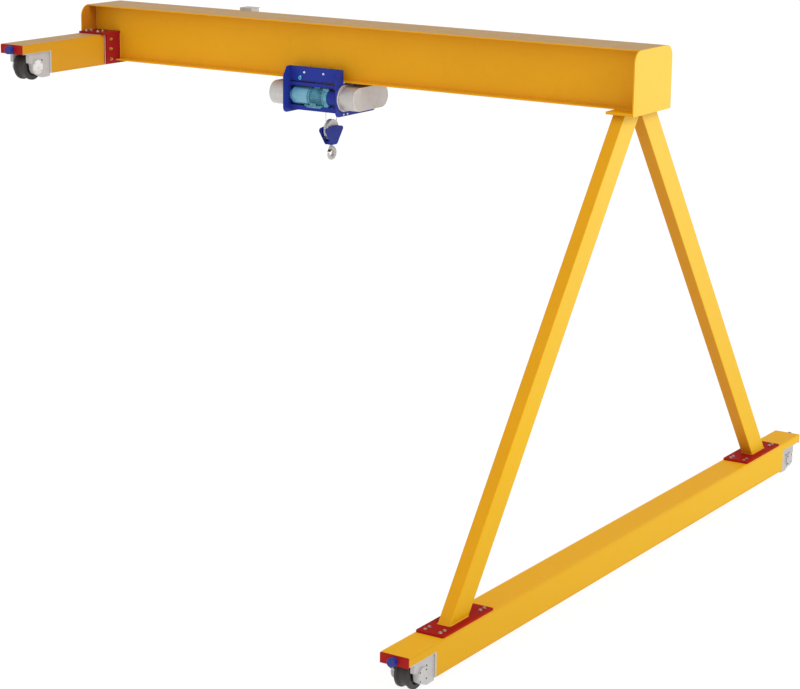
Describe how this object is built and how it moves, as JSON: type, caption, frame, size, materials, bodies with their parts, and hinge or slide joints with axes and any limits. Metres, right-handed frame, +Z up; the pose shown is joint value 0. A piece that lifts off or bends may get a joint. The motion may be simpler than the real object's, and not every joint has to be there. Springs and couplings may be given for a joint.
{
  "type": "semi-gantry crane",
  "caption": "Semi-gantry crane: a box girder on a raised end carriage and on an A-frame leg over a long floor carriage, with a trolley hoist, rope falls and a hook block.",
  "frame": {"origin": "middle of the flat underside of the runway carriage, the short carriage under the raised end of the girder", "axes": "+X along the girder towards the leg; +Y along the crane's travel, from the trolley's motor side to its drum side; +Z up"},
  "size_m": [7.703, 9.688, 5.9739],
  "materials": {
    "yellow_paint": "satin",
    "red_paint": "satin",
    "grey_paint": "satin",
    "cyan_paint": "satin",
    "blue_rubber": "matte",
    "wheel_iron": "matte",
    "rope_steel": "satin",
    "hook_steel": "satin",
    "trolley_paint": "satin"
  },
  "bodies": {
    "crane_frame": {"girder_top_flange": "yellow_paint", "girder_bottom_flange": "yellow_paint", "girder_front_web": "yellow_paint", "girder_rear_web": "yellow_paint", "girder_left_end_plate": "yellow_paint", "girder_right_end_plate": "yellow_paint", "joint_top_plate": "red_paint", "joint_side_plate": "red_paint", "joint_packing_plate": "grey_paint", "upper_carriage": "yellow_paint", "lower_carriage": "yellow_paint", "carriage_end_plates": "red_paint", "buffers": "blue_rubber", "upper_wheel_blocks": "grey_paint", "lower_wheel_blocks": "grey_paint", "leg_top_plate": "yellow_paint", "front_leg": "yellow_paint", "rear_leg": "yellow_paint", "leg_head_gusset": "yellow_paint", "leg_base_plates": "red_paint", "electrical_panel": "grey_paint", "panel_brackets": "grey_paint"},
    "upper_front_wheel_body": {"upper_front_wheel": "wheel_iron"},
    "upper_rear_wheel_body": {"upper_rear_wheel": "wheel_iron"},
    "lower_front_wheel_body": {"lower_front_wheel": "wheel_iron"},
    "lower_rear_wheel_body": {"lower_rear_wheel": "wheel_iron"},
    "trolley": {"trolley_left_plate": "trolley_paint", "trolley_right_plate": "trolley_paint", "trolley_front_frame": "trolley_paint", "trolley_rear_frame": "trolley_paint", "gear_motor": "cyan_paint", "rope_drum": "wheel_iron", "rope_anchor_bar": "trolley_paint", "left_end_cover": "grey_paint", "right_end_cover": "grey_paint", "rope_fall_drum": "rope_steel", "rope_fall_anchor": "rope_steel"},
    "trolley_wheel_front_left_body": {"trolley_wheel_front_left": "rope_steel"},
    "trolley_wheel_front_right_body": {"trolley_wheel_front_right": "rope_steel"},
    "trolley_wheel_rear_left_body": {"trolley_wheel_rear_left": "rope_steel"},
    "trolley_wheel_rear_right_body": {"trolley_wheel_rear_right": "rope_steel"},
    "hook_block": {"hook_block_plates": "trolley_paint", "hook_crosshead": "trolley_paint"},
    "sheave_body": {"sheave": "rope_steel"},
    "hook_body": {"hook": "rope_steel"}
  },
  "joints": [
    {"name": "upper_front_wheel_spin", "type": "hinge", "parent": "crane_frame", "child": "upper_front_wheel_body", "pos_m": [0, -1.655, 0.094], "axis": [1, 0, 0], "continuous": true},
    {"name": "upper_rear_wheel_spin", "type": "hinge", "parent": "crane_frame", "child": "upper_rear_wheel_body", "pos_m": [0, 1.655, 0.094], "axis": [1, 0, 0], "continuous": true},
    {"name": "lower_front_wheel_spin", "type": "hinge", "parent": "crane_frame", "child": "lower_front_wheel_body", "pos_m": [7.316, -4.49, -5.068], "axis": [1, 0, 0], "continuous": true},
    {"name": "lower_rear_wheel_spin", "type": "hinge", "parent": "crane_frame", "child": "lower_rear_wheel_body", "pos_m": [7.316, 4.49, -5.068], "axis": [1, 0, 0], "continuous": true},
    {"name": "trolley_travel", "type": "slide", "parent": "crane_frame", "child": "trolley", "axis": [1, 0, 0], "range_m": [-2.3, 3.2]},
    {"name": "trolley_wheel_front_left_spin", "type": "hinge", "parent": "trolley", "child": "trolley_wheel_front_left_body", "pos_m": [3.106, -0.227, 0.1263], "axis": [0, 1, 0], "continuous": true},
    {"name": "trolley_wheel_front_right_spin", "type": "hinge", "parent": "trolley", "child": "trolley_wheel_front_right_body", "pos_m": [3.38, -0.227, 0.1263], "axis": [0, 1, 0], "continuous": true},
    {"name": "trolley_wheel_rear_left_spin", "type": "hinge", "parent": "trolley", "child": "trolley_wheel_rear_left_body", "pos_m": [3.106, 0.227, 0.1263], "axis": [0, 1, 0], "continuous": true},
    {"name": "trolley_wheel_rear_right_spin", "type": "hinge", "parent": "trolley", "child": "trolley_wheel_rear_right_body", "pos_m": [3.38, 0.227, 0.1263], "axis": [0, 1, 0], "continuous": true},
    {"name": "hoist", "type": "slide", "parent": "trolley", "child": "hook_block", "axis": [0, 0, 1], "range_m": [-4.2, 0.06], "deforming": ["rope_fall_drum", "rope_fall_anchor"]},
    {"name": "sheave_spin", "type": "hinge", "parent": "hook_block", "child": "sheave_body", "pos_m": [3.288, 0, -0.569], "axis": [1, 0, 0], "continuous": true},
    {"name": "hook_swivel", "type": "hinge", "parent": "hook_block", "child": "hook_body", "pos_m": [3.288, 0, -0.73], "axis": [0, 0, 1], "continuous": true}
  ],
  "couplings": [
    {"joint": "trolley_wheel_front_left_spin", "follows": "trolley_travel", "rad_per_m": 14.493},
    {"joint": "trolley_wheel_front_right_spin", "follows": "trolley_travel", "rad_per_m": 14.493},
    {"joint": "trolley_wheel_rear_left_spin", "follows": "trolley_travel", "rad_per_m": 14.493},
    {"joint": "trolley_wheel_rear_right_spin", "follows": "trolley_travel", "rad_per_m": 14.493}
  ]
}
